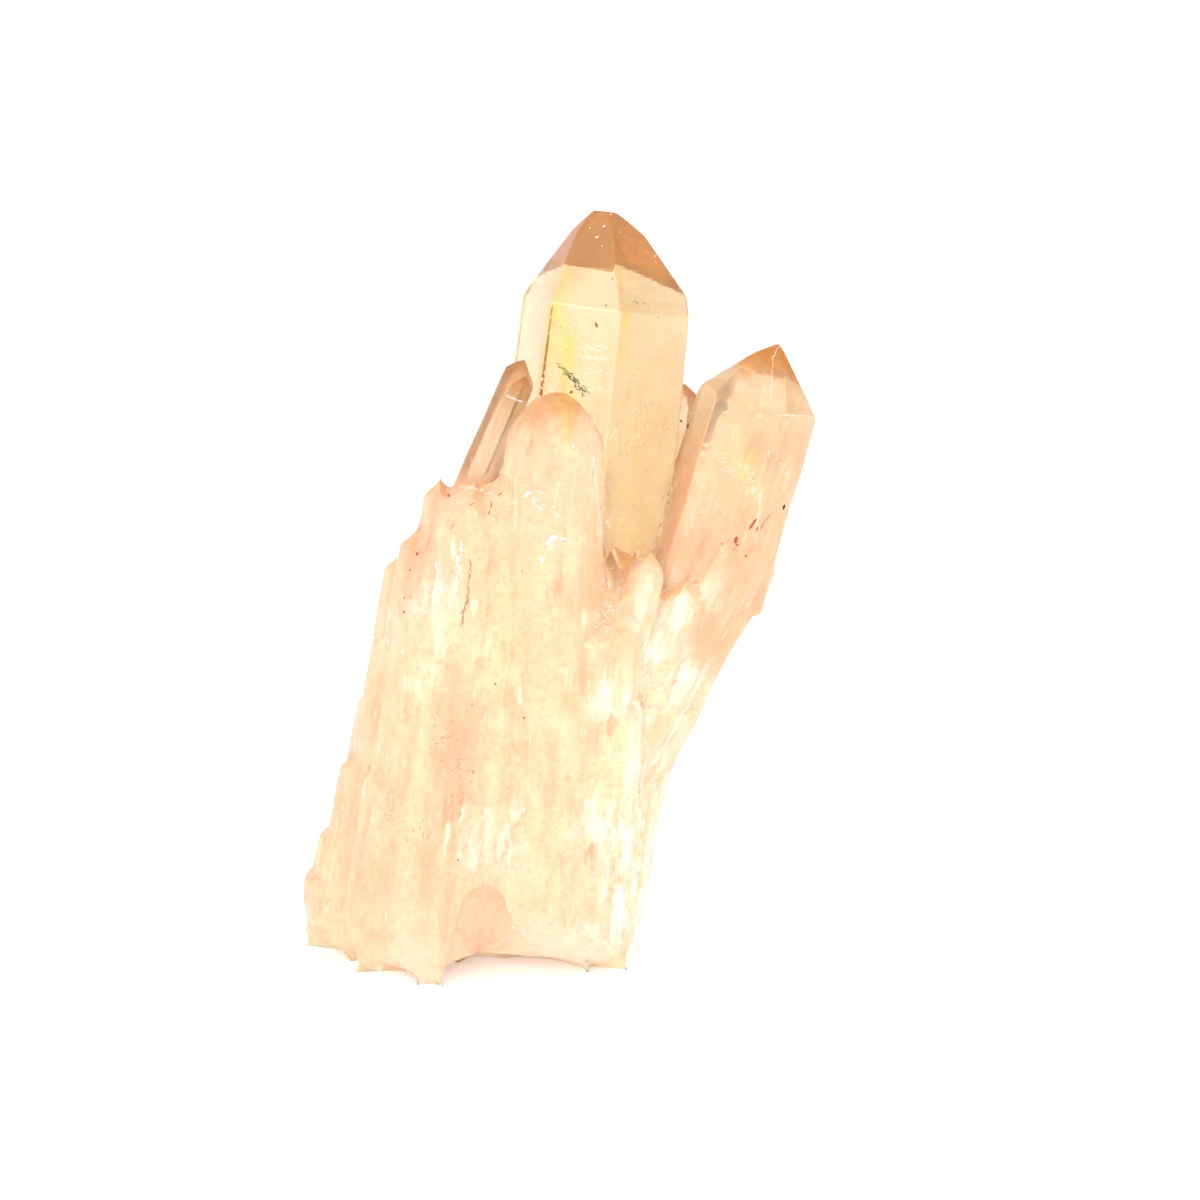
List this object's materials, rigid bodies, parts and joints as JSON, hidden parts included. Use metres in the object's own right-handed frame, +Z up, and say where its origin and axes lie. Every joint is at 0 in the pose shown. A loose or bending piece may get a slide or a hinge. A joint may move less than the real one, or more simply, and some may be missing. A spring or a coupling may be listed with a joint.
{
  "type": "citrine quartz specimen",
  "caption": "Free-standing cluster of natural citrine quartz points, clear at the tips and milky below, standing on a broken base that is cut off flat.",
  "frame": {"origin": "under the middle of the cluster's box, on the face it rests on", "axes": "+Z up towards the tips, +X to the side that the cluster leans to, -Y towards the side with the blunt front point and the hollow in the base"},
  "size_m": [0.0528, 0.0326, 0.0744],
  "materials": {
    "citrine": "natural crystal faces, clear at the tips and milky and fibrous below, orange where iron stains it"
  },
  "bodies": {
    "root": {"citrine_cluster": "citrine"}
  },
  "joints": []
}
